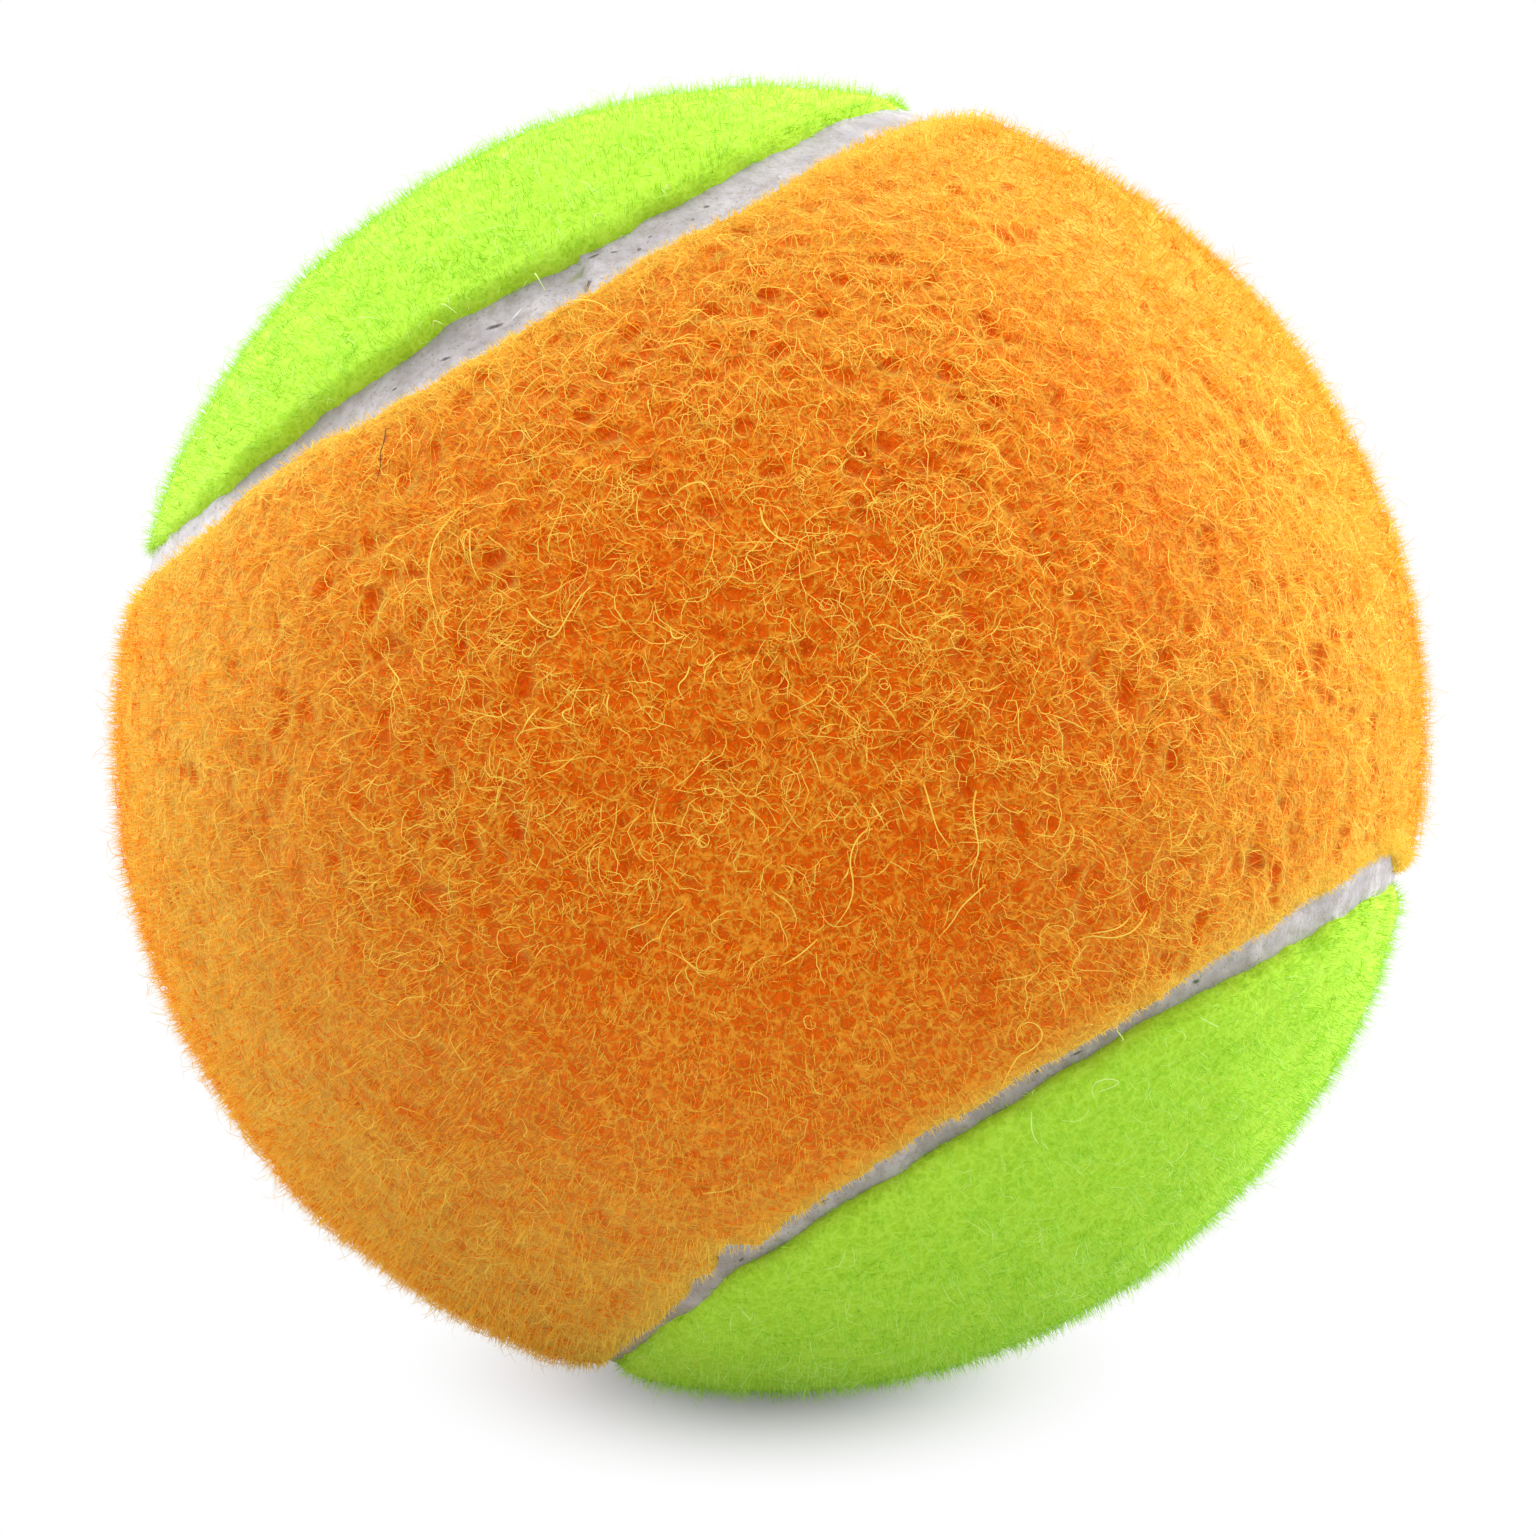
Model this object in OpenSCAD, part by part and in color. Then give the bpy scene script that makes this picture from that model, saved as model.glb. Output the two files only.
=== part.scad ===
// Two-colour felt tennis ball
// A hollow rubber core carries two like dumbbell-shaped felt panels, one orange and one green.
// Their cut edges face each other across one closed seam that is filled with rubber cement.
// Origin: centre of the ball. +Z is up, and the middle of the orange panel's waist faces -Y.

/* [Ball] */
// Diameter over the felt
ball_d = 66; // [60:0.5:70]
// Thickness of the felt with its nap, as it lies on the ball
felt_t = 3; // [2.5:0.1:3.6]
// Thickness of the rubber cement coat on the back of each panel
coat_t = 0.25; // [0.15:0.05:0.4]
// Wall thickness of the hollow rubber core
core_wall = 2.4; // [2:0.1:4]

/* [Core joint] */
// Thickness of the cement film between the two halves of the core
joint_t = 0.2; // [0.1:0.05:0.4]
// Radius of the cement bead squeezed out inside the core along the joint
joint_bead_r = 0.8; // [0.5:0.1:1.2]

/* [Seam] */
// Width of the channel between the cut edges of the two panels
seam_w = 2.8; // [2:0.1:4]
// Depth below the felt at which the seam cement meets the cut edges
seam_drop = 0.9; // [0.6:0.1:1.5]
// Further depth of the dished middle of the seam cement
seam_dish = 0.2; // [0.1:0.05:0.4]
// Radius of the felt's cut edges where they roll over into the channel
felt_edge_r = 1; // [0.6:0.1:1.4]

/* [Seam pattern] */
// Angle by which the lobes of a panel reach past the line square to its waist
lobe_tilt = 4.5; // [1:0.5:10]

/* [Hidden] */
$fn = 128;
right_angle = 90;
// How the ball lies: the slope at which the seams rise to the right across its front, the
// angle of the middle of the orange waist above the front, and its turn towards the right
seam_slope = 30;
waist_rise = 17;
waist_turn = 4;
// How far a cut runs past the solid that it cuts
overrun = 2;
// Share of the edge radius at which a rolled felt edge meets the outside of the ball
edge_crest_share = 0.94;
// Share of the core's radius down to which the cutters reach
cutter_reach_share = 0.5;
// Share of the channel's half width by which a lobe's cutter stays inside the seam's middle
cutter_inset_share = 0.5;
// Half length of the straight links that carry the channel from one arc to the next,
// how far short of their meeting point the arcs end inside a link, and how much a link is
// wider all round than the arcs, so that no two walls of them coincide
link_half = 1;
link_gap = 0.4;
link_ease = 0.04;

// Radii from the centre of the ball outwards
ball_r = ball_d / 2;
felt_in_r = ball_r - felt_t;
core_r = felt_in_r - coat_t;
core_in_r = core_r - core_wall;

// The seam is four equal arcs of small circles, each round the middle of a lobe.
// Neighbouring circles touch, so the arcs run into each other without a kink, and a short
// link on the great circle through that point joins them.
arc_angle_r = acos(cos(lobe_tilt) / sqrt(2));
arc_half_turn = right_angle + atan(sin(lobe_tilt)) - atan(link_gap / (core_r * sin(arc_angle_r)));
link_tilt = atan(1 / (sqrt(2) * tan(lobe_tilt)));
link_half_turn = atan(link_half / ball_r);
cutter_angle_r = arc_angle_r - atan(cutter_inset_share * seam_w / 2 / ball_r);

// Radius of the dished surface of the seam cement
dish_r = (pow(seam_w / 2, 2) + pow(seam_dish, 2)) / (2 * seam_dish);

// Turns the pattern, whose orange waist is on top, into its place on the ball
module in_place() {
    rotate([right_angle - waist_rise, 0, waist_turn])
        rotate(seam_slope - right_angle)
            children();
}

// Puts things round the middles of the green panel's two lobes
module at_lobes() {
    for (side = [0, 180])
        rotate([0, right_angle - lobe_tilt, side])
            children();
}

// Turns the pattern over about a point where two arcs meet, which swaps its two panels
module swap_panels() {
    rotate(a = 180, v = [1, 1, 0])
        children();
}

// Sweeps a profile along the whole seam: the first child along the arcs, the second along
// the links. In a profile, Y runs outwards from the centre of the ball and X across the seam.
module along_seam() {
    for (turned_over = [0, 180])
        rotate(a = turned_over, v = [1, 1, 0])
            at_lobes()
                rotate(180 - arc_half_turn)
                    rotate_extrude(angle = 2 * arc_half_turn)
                        rotate(-arc_angle_r)
                            children(0);
    for (hand = [-1, 1], side = [0, 180])
        rotate([hand * link_tilt, 0, side + hand * right_angle / 2])
            rotate(-link_half_turn)
                rotate_extrude(angle = 2 * link_half_turn)
                    rotate(-right_angle)
                        children(1);
}

// The space between the cut edges: straight walls that roll over at the mouth
module channel_profile(ease = 0) {
    half_w = seam_w / 2 + ease;
    floor_y = core_r - overrun - ease;
    roll_y = ball_r - edge_crest_share * felt_edge_r - ease;
    roll_x = half_w + felt_edge_r;
    top_y = ball_r + overrun + ease;
    translate([-half_w, floor_y])
        square([2 * half_w, top_y - floor_y]);
    difference() {
        translate([-roll_x, roll_y])
            square([2 * roll_x, top_y - roll_y]);
        for (side = [-1, 1])
            translate([side * roll_x, roll_y])
                circle(felt_edge_r);
    }
}

// The cement that fills the channel, with its dished surface
module seam_profile(ease = 0) {
    half_w = seam_w / 2 + ease;
    floor_y = core_r - overrun - ease;
    edge_y = ball_r - seam_drop + ease;
    difference() {
        translate([-half_w, floor_y])
            square([2 * half_w, edge_y + seam_dish - floor_y]);
        translate([0, edge_y - seam_dish + dish_r])
            circle(dish_r);
    }
}

// A cone round the middle of a lobe, whose side runs in the channel round the lobe
module lobe_cone() {
    low = core_r * cutter_reach_share;
    high = ball_r + overrun;
    translate([0, 0, low])
        cylinder(h = high - low, r1 = low * tan(cutter_angle_r), r2 = high * tan(cutter_angle_r));
}

// One dumbbell-shaped panel of a layer of the cover, with its waist on top. The layer's poles
// are turned aside, where the other panel's lobes are, so this panel is a plain band of it.
// The channel parts the layer in two, and the other panel is then taken away.
module panel(out_r, in_r) {
    block = ball_r + overrun;
    difference() {
        rotate([0, right_angle, 0])
            sphere(out_r);
        rotate([0, right_angle, 0])
            sphere(in_r);
        along_seam() {
            channel_profile();
            channel_profile(link_ease);
        }
        at_lobes() lobe_cone();
        difference() {
            translate([-block, -block, -block])
                cube([2 * block, 2 * block, block]);
            swap_panels() at_lobes() lobe_cone();
        }
    }
}

module core_half() {
    difference() {
        sphere(core_r);
        sphere(core_in_r);
        translate([-ball_r, -ball_r, joint_t / 2 - ball_d])
            cube([ball_d, ball_d, ball_d]);
    }
}

module core_half_top() {
    color("dimgray") core_half();
}

module core_half_bottom() {
    color("dimgray") mirror([0, 0, 1]) core_half();
}

// The film between the halves, with the bead that it squeezed out inside
module core_joint_cement() {
    film_in_r = core_in_r - joint_bead_r / 2;
    color("darkslategray")
        rotate_extrude() {
            intersection() {
                circle(core_r);
                translate([film_in_r, -joint_t / 2])
                    square([core_r, joint_t]);
            }
            intersection() {
                circle(core_in_r);
                translate([core_in_r, 0])
                    circle(joint_bead_r);
            }
        }
}

module orange_panel_cement() {
    color("gainsboro") in_place() panel(felt_in_r, core_r);
}

module green_panel_cement() {
    color("gainsboro") in_place() swap_panels() panel(felt_in_r, core_r);
}

module orange_felt_panel() {
    color("darkorange") in_place() panel(ball_r, felt_in_r);
}

module green_felt_panel() {
    color("greenyellow") in_place() swap_panels() panel(ball_r, felt_in_r);
}

module seam_cement() {
    color("silver")
        in_place()
            difference() {
                along_seam() {
                    seam_profile();
                    seam_profile(link_ease);
                }
                sphere(core_r);
            }
}

core_half_top();
core_half_bottom();
core_joint_cement();
orange_panel_cement();
green_panel_cement();
orange_felt_panel();
green_felt_panel();
seam_cement();
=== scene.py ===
import math
import bpy
import numpy as np
from mathutils import Matrix, Vector, noise


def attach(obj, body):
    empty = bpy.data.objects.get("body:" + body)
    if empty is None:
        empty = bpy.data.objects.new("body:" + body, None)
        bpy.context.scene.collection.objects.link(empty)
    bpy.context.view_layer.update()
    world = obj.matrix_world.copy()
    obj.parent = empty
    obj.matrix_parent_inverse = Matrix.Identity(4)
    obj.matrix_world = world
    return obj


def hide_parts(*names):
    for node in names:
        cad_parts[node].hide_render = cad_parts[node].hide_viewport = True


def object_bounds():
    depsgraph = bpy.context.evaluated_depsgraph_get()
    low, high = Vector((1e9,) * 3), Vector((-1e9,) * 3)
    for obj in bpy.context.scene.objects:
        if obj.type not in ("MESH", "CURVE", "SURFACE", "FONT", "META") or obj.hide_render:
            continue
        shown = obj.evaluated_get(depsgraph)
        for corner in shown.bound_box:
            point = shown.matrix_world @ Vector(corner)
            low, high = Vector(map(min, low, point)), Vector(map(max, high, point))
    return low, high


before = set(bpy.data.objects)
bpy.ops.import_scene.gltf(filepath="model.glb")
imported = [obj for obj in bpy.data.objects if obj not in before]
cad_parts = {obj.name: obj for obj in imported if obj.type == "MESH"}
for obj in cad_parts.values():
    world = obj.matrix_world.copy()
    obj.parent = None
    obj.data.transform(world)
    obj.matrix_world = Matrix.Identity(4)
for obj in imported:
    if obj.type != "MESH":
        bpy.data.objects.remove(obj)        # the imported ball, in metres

# The looks of a two-colour felt tennis ball: two napped felt panels that interlock
# along one seam of grey rubber cement. +Z is up and the camera looks along +Y.

cadLow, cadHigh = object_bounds()    # the imported ball's bounds; the floor goes just under them
mm = 0.001
ballRadius = max(v.co.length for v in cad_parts["orange_felt_panel"].data.vertices)
draw = np.random.default_rng(20)

# The seam is four arcs, each round the middle of a lobe. These follow the solid ball.
pattern = {
    "lobeTilt": 4.5,      # degrees by which a lobe leans towards the other panel's waist
    "slope": 30.0,        # the seams climb to the right across the front
    "rise": 17.0,         # the middle of the orange waist above the front
    "turn": 4.0,          # and its turn to the right
    "halfWidth": 1.4 * mm,    # of the channel between the cut edges
    "coreRadius": ballRadius - 3.25 * mm,
    "stripHalf": 2.1 * mm,    # of the cement, which runs in under the felt's edges
    "cementDrop": 0.9 * mm,   # from the felt down to the cement at the cut edge
}


def turnedBy(degrees, axis):
    return np.array(Matrix.Rotation(math.radians(degrees), 3, axis))


ballTurn = (turnedBy(pattern["turn"], "Z") @ turnedBy(90 - pattern["rise"], "X")
            @ turnedBy(pattern["slope"] - 90, "Z"))
lean = math.radians(pattern["lobeTilt"])
arcAngle = math.acos(math.cos(lean) / math.sqrt(2))    # an arc, seen from its lobe's middle
halfTurn = math.pi / 2 + math.atan(math.sin(lean))     # half an arc's turn round its lobe


def unit(vectors):
    return vectors / np.linalg.norm(vectors, axis=-1, keepdims=True)


# Where directions from the ball's middle lie on the seam pattern: metres from the seam's
# middle line (orange side positive), the way across towards orange, the arc and the turn on it
def seamPlace(ways):
    x, y, z = (ways @ ballTurn).T
    flat = np.zeros_like(x)
    north = math.cos(lean) * z + math.sin(lean) * (abs(y) - abs(x)) > 0
    lobe = np.where(north,
                    [np.copysign(math.cos(lean), x), flat, flat + math.sin(lean)],
                    [flat, np.copysign(math.cos(lean), y), flat - math.sin(lean)]).T
    here = np.array([x, y, z]).T
    side = np.where(north, 1.0, -1.0)
    facing = np.clip((here * lobe).sum(1), -1, 1)
    distance = side * (np.arccos(facing) - arcAngle) * ballRadius
    across = unit(here * facing[:, None] - lobe + 1e-12) * side[:, None]
    pole = np.array([flat, flat, side]).T
    start = unit(pole - (pole * lobe).sum(1)[:, None] * lobe)
    turn = np.arctan2((here * np.cross(lobe, start)).sum(1), (here * start).sum(1))
    arc = np.where(north, np.where(x < 0, 0, 1), np.where(y < 0, 2, 3))
    return distance, across @ ballTurn.T, arc, turn


def smoothStep(values, low, high):
    t = np.clip((values - low) / (high - low), 0, 1)
    return t * t * (3 - 2 * t)


# Soft lumps of one size at each point, about -1 to 1
def lumps(points, size, seed=0.0):
    shift = Vector((seed, seed * 1.7, seed * 2.3))
    return np.array([noise.noise(Vector(p) / size + shift) for p in points])


# How scruffy the nap is, 0 smooth to 1: brushed up over the front above the middle
def scruff(points):
    ways = unit(points)
    level = 0.42 + 0.8 * lumps(points, 10 * mm, 6)
    for place, amount in (((-0.22, -0.85, 0.47), 0.6), ((0.62, -0.76, 0.2), 0.3),
                          ((-0.1, -0.8, -0.6), -0.5), ((-0.9, -0.4, -0.1), -0.35)):
        level += amount * smoothStep(ways @ unit(np.array(place)), 0.72, 1.0)
    return np.clip(level, 0, 1)


# The nap's pits are cells, and the fibres gather in the ridges between them
pits = {
    "spacing": 1.25 * mm,
    "warp": 0.35 * mm, "warpSize": 1.6 * mm,
    "drift": 1.1 * mm, "driftSize": 4.5 * mm,    # makes wide and narrow cells by turns
    "depth": 0.32 * mm,
    "least": 0.12,            # depth of the shallowest pits, as a share of the deepest
    "edgeReach": 1.6 * mm,    # no pits so near to a cut edge, where the nap is combed flat
}


# For each point, how far it lies inside its pit, from 0 on a ridge, the pit's middle and
# how deep the pit is, as a share: most are shallow
def nearestPit(points, seed):
    shift = Vector((seed, seed, seed))
    inside = np.empty(len(points))
    middle = np.empty((len(points), 3))
    deep = np.empty(len(points))
    for k, p in enumerate(points):
        bent = Vector(p) + noise.noise_vector(Vector(p) / pits["warpSize"]) * pits["warp"]
        bent += noise.noise_vector(Vector(p) / pits["driftSize"]) * pits["drift"]
        distances, places = noise.voronoi(bent / pits["spacing"] + shift)
        inside[k] = distances[1] - distances[0]
        middle[k] = (places[0] - shift) * pits["spacing"] + Vector(p) - bent
        deep[k] = (noise.cell(places[0]) + 1) / 2
    return inside, middle, pits["least"] + (1 - pits["least"]) * deep ** 1.5


# How open the pits are at each point of a panel
def openness(points, panel):
    own, mouth = ownPlace(points, panel)
    level = 0.2 + 0.9 * scruff(points) + 0.7 * lumps(points, 2.8 * mm, panel["seed"])
    return np.clip(level, 0, 1) * smoothStep(own, mouth + 0.5 * mm, mouth + pits["edgeReach"])


# How far a panel's edge leans over the seam, from its places along each arc
def flareAt(arc, turn, panel):
    flare = np.zeros(len(arc))
    for number, places in enumerate(panel["flare"]):
        turns, reaches = np.array([(-94, 0.1), *places, (94, 0.1)]).T
        here = arc == number
        flare[here] = np.interp(np.degrees(turn[here]), turns, reaches * mm)
    return flare


# Distance of points from the seam's middle on a panel's own side, and of its edge there
def ownPlace(points, panel):
    distance, _, arc, turn = seamPlace(unit(points))
    return distance * panel["side"], pattern["halfWidth"] - flareAt(arc, turn, panel)


def onlySelect(obj):
    bpy.ops.object.select_all(action="DESELECT")
    obj.select_set(True)
    bpy.context.view_layer.objects.active = obj


def readPoints(obj):
    co = np.empty(len(obj.data.vertices) * 3, np.float32)
    obj.data.vertices.foreach_get("co", co)
    return co.reshape(-1, 3).astype(float)


def writePoints(obj, points):
    obj.data.vertices.foreach_set("co", points.astype(np.float32).ravel())
    obj.data.update()


def applied(obj, kind, **settings):
    onlySelect(obj)
    modifier = obj.modifiers.new(kind.title(), kind)
    for name, value in settings.items():
        setattr(modifier, name, value)
    bpy.ops.object.modifier_apply(modifier=modifier.name)


# Camera: as the photograph sees the ball, from 10 degrees above, six radii away
camera = {
    "elevation": 10.0,
    "distance": 6 * ballRadius,
    "ballRadiusPx": 651.4,    # the ball's outline in the photograph, 1536 pixels square
    "ballCentrePx": (769.7, 739.7),
    "imagePx": 1536,
    "sensor": 36.0,
}


def makeCamera():
    tilt = math.radians(camera["elevation"])
    back = Vector((0, -math.cos(tilt), math.sin(tilt)))
    focalPx = camera["ballRadiusPx"] * math.sqrt((camera["distance"] / ballRadius) ** 2 - 1)
    data = bpy.data.cameras.new("camera")
    data.sensor_width = camera["sensor"]
    data.lens = focalPx * camera["sensor"] / camera["imagePx"]
    data.clip_start, data.clip_end = 0.01, 10
    view = bpy.data.objects.new("camera", data)
    bpy.context.scene.collection.objects.link(view)
    view.location = back * camera["distance"]
    middle = camera["imagePx"] / 2
    right = (middle - camera["ballCentrePx"][0]) / focalPx
    up = (camera["ballCentrePx"][1] - middle) / focalPx
    aim = -back + Vector((1, 0, 0)) * right + Vector((0, math.sin(tilt), math.cos(tilt))) * up
    view.rotation_euler = aim.to_track_quat("-Z", "Y").to_euler()
    bpy.context.scene.camera = view
    return view, focalPx


view, focalPx = makeCamera()
viewTurn = view.rotation_euler.to_matrix()
print("camera made")


def linear(hexColour):
    parts = [int(hexColour[i:i + 2], 16) / 255 for i in (1, 3, 5)]
    return (*[c / 12.92 if c <= 0.04045 else ((c + 0.055) / 1.055) ** 2.4 for c in parts], 1.0)


# Adds a node, sets its values and inputs, and links what comes as a socket
def addNode(material, kind, inputs=(), **settings):
    node = material.node_tree.nodes.new("ShaderNode" + kind)
    for name, value in settings.items():
        setattr(node, name, value)
    for name, value in dict(inputs).items():
        if isinstance(value, bpy.types.NodeSocket):
            material.node_tree.links.new(value, node.inputs[name])
        else:
            node.inputs[name].default_value = value
    return node


def newMaterial(name):
    material = bpy.data.materials.new(name)
    material.use_nodes = True
    return material, material.node_tree.nodes["Principled BSDF"]


def colourRamp(material, factor, *stops):
    ramp = addNode(material, "ValToRGB", {"Fac": factor})
    points = ramp.color_ramp.elements
    while len(points) < len(stops):
        points.new(0.5)
    for point, (place, hexColour) in zip(points, stops):
        point.position = place
        point.color = linear(hexColour)
    return ramp.outputs["Color"]


def linkTo(material, output, shader, inputName):
    material.node_tree.links.new(output, shader.inputs[inputName])


# Needled wool and nylon felt, raised into a nap: soft crossing fibres over deeper, redder pits
def napMaterial(name, looks):
    material, shader = newMaterial(name)
    where = addNode(material, "TexCoord").outputs["Object"]
    bend = addNode(material, "TexNoise",
                   {"Vector": where, "Scale": 1 / (1.1 * mm), "Detail": 3.0}).outputs["Color"]
    shift = addNode(material, "VectorMath", {0: bend, 1: (0.5, 0.5, 0.5)}, operation="SUBTRACT")
    amount = addNode(material, "VectorMath", {0: shift.outputs[0], "Scale": 0.9 * mm},
                     operation="SCALE")
    bent = addNode(material, "VectorMath", {0: where, 1: amount.outputs[0]}, operation="ADD")
    bent = bent.outputs[0]
    web = addNode(material, "TexVoronoi", {"Vector": bent, "Scale": 1 / (0.75 * mm)},
                  feature="DISTANCE_TO_EDGE").outputs["Distance"]
    fineWeb = addNode(material, "TexVoronoi", {"Vector": bent, "Scale": 1 / (0.32 * mm)},
                      feature="DISTANCE_TO_EDGE").outputs["Distance"]
    pits = addNode(material, "Attribute", attribute_name="pit").outputs["Fac"]
    grain = addNode(material, "TexNoise", {"Vector": where, "Scale": 1 / (0.16 * mm),
                                           "Detail": 4.0, "Roughness": 0.65}).outputs["Fac"]
    patches = addNode(material, "TexNoise", {"Vector": where, "Scale": 1 / (5 * mm),
                                             "Detail": 2.0}).outputs["Fac"]
    webLight = addNode(material, "MapRange", {"Value": web, "From Min": 0.0, "From Max": 0.22,
                                              "To Min": 1.0, "To Max": 0.0}).outputs[0]
    fineLight = addNode(material, "MapRange", {"Value": fineWeb, "From Min": 0.0,
                                               "From Max": 0.25, "To Min": 1.0,
                                               "To Max": 0.0}).outputs[0]
    # The pit attribute also carries the painted edge highlight as negative pit, which lightens the felt here
    filled = addNode(material, "MapRange", {"Value": pits, "From Min": -1.0, "From Max": 1.0,
                                            "To Min": 2.8, "To Max": 0.0}).outputs[0]
    one = addNode(material, "Math", {0: webLight, 1: fineLight}, operation="ADD").outputs[0]
    two = addNode(material, "Math", {0: one, 1: filled}, operation="ADD").outputs[0]
    three = addNode(material, "Math", {0: two, 1: grain}, operation="ADD").outputs[0]
    four = addNode(material, "Math", {0: three, 1: patches}, operation="ADD").outputs[0]
    level = addNode(material, "MapRange", {"Value": four, "From Min": 1.2, "From Max": 4.0,
                                           "To Min": 0.0, "To Max": 1.0}).outputs[0]
    linkTo(material, colourRamp(material, level, *looks["stops"]), shader, "Base Color")
    bump = addNode(material, "Bump", {"Height": four, "Strength": looks["bump"],
                                      "Distance": 0.12 * mm})
    linkTo(material, bump.outputs[0], shader, "Normal")
    shader.inputs["Roughness"].default_value = 0.95
    shader.inputs["Specular IOR Level"].default_value = 0.15
    facing = addNode(material, "LayerWeight", {"Blend": 0.5}).outputs["Facing"]
    glow = addNode(material, "Math", {0: facing, 1: looks["sheen"], 2: -0.15},
                   operation="MULTIPLY_ADD", use_clamp=True).outputs[0]
    linkTo(material, glow, shader, "Sheen Weight")
    shader.inputs["Sheen Roughness"].default_value = 0.9
    shader.inputs["Sheen Tint"].default_value = linear(looks["sheenColour"])
    return material


# Single wool and nylon fibres, dyed through: painted paler towards the tips as highlight, deeper at the roots
# as shade
def fibreMaterial(name, looks):
    material, shader = newMaterial(name)
    # The tone attribute holds each fibre's own tone plus the painted highlight and shade by height
    tone = addNode(material, "Attribute", attribute_name="tone").outputs["Fac"]
    linkTo(material, colourRamp(material, tone, *looks["fibreStops"]), shader, "Base Color")
    shader.inputs["Roughness"].default_value = 0.7
    shader.inputs["Specular IOR Level"].default_value = 0.12
    shader.inputs["Sheen Weight"].default_value = looks["fibreSheen"]
    shader.inputs["Sheen Roughness"].default_value = 0.4
    shader.inputs["Sheen Tint"].default_value = linear(looks["sheenColour"])
    return material


orangeLooks = {
    "stops": [(0.0, "#F45000"), (0.35, "#F46000"), (0.7, "#F26E00"), (1.0, "#FFA42C")],
    "fibreStops": [(0.0, "#FA5C00"), (0.35, "#FB7C02"), (0.7, "#FFAE1E"), (1.0, "#FFDE5C")],
    "bump": 0.8,
    "sheen": 2.1,
    "fibreSheen": 0.05,
    "sheenColour": "#FFE264",
}
greenLooks = {
    "stops": [(0.0, "#98C624"), (0.35, "#A4D42E"), (0.7, "#AEDE38"), (1.0, "#B8E848")],
    "fibreStops": [(0.0, "#9CCA28"), (0.4, "#AADC38"), (0.7, "#BAEC50"), (1.0, "#DCFA98")],
    "bump": 0.15,
    "sheen": 0.4,
    "fibreSheen": 0.15,
    "sheenColour": "#F0FF70",
}


# Felt panels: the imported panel's shape with its nap raised, lumpy outside and plain behind
felt = {
    "step": 0.34 * mm,          # of the remesh
    "backKept": 0.12,           # share of the faces kept on the glued back
    "lumpSize": 6 * mm, "lumpHeight": 0.35 * mm,
    "clumpSize": 1.3 * mm,
    "flareReach": 1.9 * mm,     # how far from the cut edge the nap leans over
}
panels = {
    "orange": {"node": "orange_felt_panel", "name": "orange_felt", "side": 1, "seed": 3.0,
               "pitShare": 1.0, "clumpHeight": 0.18 * mm, "fringe": 0.12 * mm,
               # the edge value below is a painted highlight: felt and fibres are made lighter along the cut
               # edge
               "edgePile": 0.08 * mm, "paintedEdgeHighlight": 0.8, "patches": 0.15,
               # per arc: degrees along it and how far the edge leans in, in mm
               "flare": [[(-60, 0.3), (-50, 0.05), (-45, 0.75), (-36, 0.85), (-30, 0.35),
                          (-24, -0.05), (-16, -0.35), (0, -0.5), (6, -0.25), (14, -0.2),
                          (20, -0.6), (27, -0.15), (34, 0.05), (42, 0.5), (48, 0.5), (56, 0.1)],
                         [(-71, 1.3), (-67, 1.0), (-64, 0.3), (-58, -0.05), (-50, 0.1), (-43, 0.45), (-37, 0.2),
                          (-29, 0.7), (-12, 0.9), (0, 0.85), (12, 0.7), (24, 0.55), (34, 0.65),
                          (39, 0.8), (41, -0.15), (44, -0.15), (46, 0.8), (50, 0.7), (56, 1.2),
                          (76, 1.3), (85, 1.3)],
                         [], []]},
    "green": {"node": "green_felt_panel", "name": "green_felt", "side": -1, "seed": 8.0,
              "pitShare": 0.06, "clumpHeight": 0.12 * mm, "fringe": 0.65 * mm,
              "edgePile": 0.35 * mm, "paintedEdgeHighlight": 0.0, "patches": 0.3,
              "flare": [[(-60, 1.2), (-52, 1.0), (-46, 0.4), (-38, 0.1), (-30, 0.0), (-22, -0.15),
                         (-12, -0.5), (-4, 0.05), (6, 0.18), (20, 0.08), (28, -0.15), (38, -0.36),
                         (48, -0.17), (56, 0.35)],
                        [(-71, 1.3), (-67, 1.2), (-64, 0.9), (-58, 1.1), (-52, 0.65), (-46, 0.4), (-40, 0.07),
                         (-30, 0.15), (-22, 0.4), (-16, 0.68), (0, 0.62), (12, 0.8), (24, 0.72),
                         (34, 0.85), (44, 1.05), (52, 1.3), (85, 1.3)],
                        [], []]},
}


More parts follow.
